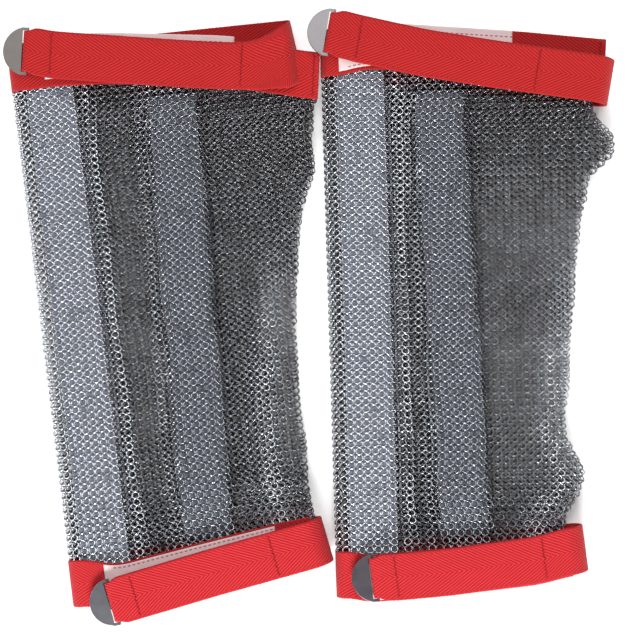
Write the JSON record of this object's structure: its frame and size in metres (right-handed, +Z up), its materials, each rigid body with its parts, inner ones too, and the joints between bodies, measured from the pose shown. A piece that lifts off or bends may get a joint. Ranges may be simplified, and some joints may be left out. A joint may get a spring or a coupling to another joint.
{
  "type": "pair of chain mail forearm sleeves",
  "caption": "Flat-lying pair of steel ring mesh forearm sleeves, each stiffened by stays and edged with red webbing bands whose straps end in half-round steel hook plates.",
  "frame": {"origin": "middle of the pair's box in plan, at the underside of the webbing bands, on the surface the sleeves lie on", "axes": "+Z up off the surface, +Y along the sleeves towards the elbow ends, +X from sleeve a to sleeve b"},
  "size_m": [0.3242, 0.3258, 0.0213],
  "materials": {
    "ring_mesh": "satin",
    "spring_strip": "satin",
    "pocket_tape": "matte",
    "webbing": "matte",
    "label_cloth": "matte",
    "thread": "matte",
    "hook_steel": "satin"
  },
  "bodies": {
    "sleeve_a": {"a_mesh_front": "ring_mesh", "a_mesh_back": "ring_mesh", "a_mesh_left_fold": "ring_mesh", "a_mesh_right_fold": "ring_mesh", "a_side_pocket": "pocket_tape", "a_side_stay": "spring_strip", "a_middle_pocket": "pocket_tape", "a_middle_stay": "spring_strip", "a_elbow_band_front": "webbing", "a_elbow_band_back": "webbing", "a_elbow_band_side": "webbing", "a_elbow_band_stitches": "thread", "a_elbow_label": "label_cloth", "a_elbow_strap_loop": "webbing", "a_wrist_band_front": "webbing", "a_wrist_band_back": "webbing", "a_wrist_band_side": "webbing", "a_wrist_band_stitches": "thread", "a_wrist_label": "label_cloth", "a_wrist_strap_loop": "webbing"},
    "sleeve_b": {"b_mesh_front": "ring_mesh", "b_mesh_back": "ring_mesh", "b_mesh_left_fold": "ring_mesh", "b_mesh_right_fold": "ring_mesh", "b_side_pocket": "pocket_tape", "b_side_stay": "spring_strip", "b_middle_pocket": "pocket_tape", "b_middle_stay": "spring_strip", "b_elbow_band_front": "webbing", "b_elbow_band_back": "webbing", "b_elbow_band_side": "webbing", "b_elbow_band_stitches": "thread", "b_elbow_label": "label_cloth", "b_elbow_strap_loop": "webbing", "b_wrist_band_front": "webbing", "b_wrist_band_back": "webbing", "b_wrist_band_side": "webbing", "b_wrist_band_stitches": "thread", "b_wrist_label": "label_cloth", "b_wrist_strap_loop": "webbing"},
    "a_elbow_closure": {"a_elbow_strap": "webbing", "a_elbow_strap_fold": "webbing", "a_elbow_strap_stitches": "thread"},
    "a_elbow_hook": {"a_elbow_hook_plate": "hook_steel"},
    "a_wrist_closure": {"a_wrist_strap": "webbing", "a_wrist_strap_fold": "webbing", "a_wrist_strap_stitches": "thread"},
    "a_wrist_hook": {"a_wrist_hook_plate": "hook_steel"},
    "b_elbow_closure": {"b_elbow_strap": "webbing", "b_elbow_strap_fold": "webbing", "b_elbow_strap_stitches": "thread"},
    "b_elbow_hook": {"b_elbow_hook_plate": "hook_steel"},
    "b_wrist_closure": {"b_wrist_strap": "webbing", "b_wrist_strap_fold": "webbing", "b_wrist_strap_stitches": "thread"},
    "b_wrist_hook": {"b_wrist_hook_plate": "hook_steel"}
  },
  "joints": [
    {"name": "pair_slide", "type": "slide", "parent": "sleeve_a", "child": "sleeve_b", "axis": [1, 0, 0], "range_m": [0, 0.06]},
    {"name": "a_elbow_strap_swing", "type": "hinge", "parent": "sleeve_a", "child": "a_elbow_closure", "pos_m": [-0.01441, 0.13319, 0.0212], "axis": [0.0517, 0.9987, 0], "range_deg": [0, 150]},
    {"name": "a_elbow_hook_tilt", "type": "hinge", "parent": "a_elbow_closure", "child": "a_elbow_hook", "pos_m": [-0.14932, 0.14017, 0.0187], "axis": [0.0517, 0.9987, 0], "range_deg": [0, 70]},
    {"name": "a_wrist_strap_swing", "type": "hinge", "parent": "sleeve_a", "child": "a_wrist_closure", "pos_m": [-0.00081, -0.12031, 0.0212], "axis": [-0.2773, 0.9608, 0], "range_deg": [0, 150]},
    {"name": "a_wrist_hook_tilt", "type": "hinge", "parent": "a_wrist_closure", "child": "a_wrist_hook", "pos_m": [-0.1036, -0.14997, 0.0187], "axis": [-0.2773, 0.9608, 0], "range_deg": [0, 70]},
    {"name": "b_elbow_strap_swing", "type": "hinge", "parent": "sleeve_b", "child": "b_elbow_closure", "pos_m": [0.14959, 0.12609, 0.0212], "axis": [0.1702, 0.9854, 0], "range_deg": [0, 150]},
    {"name": "b_elbow_hook_tilt", "type": "hinge", "parent": "b_elbow_closure", "child": "b_elbow_hook", "pos_m": [0.01115, 0.15, 0.0187], "axis": [0.1702, 0.9854, 0], "range_deg": [0, 70]},
    {"name": "b_wrist_strap_swing", "type": "hinge", "parent": "sleeve_b", "child": "b_wrist_closure", "pos_m": [0.13599, -0.12331, 0.0212], "axis": [-0.1375, 0.9905, 0], "range_deg": [0, 150]},
    {"name": "b_wrist_hook_tilt", "type": "hinge", "parent": "b_wrist_closure", "child": "b_wrist_hook", "pos_m": [0.03456, -0.13739, 0.0187], "axis": [-0.1375, 0.9905, 0], "range_deg": [0, 70]}
  ]
}
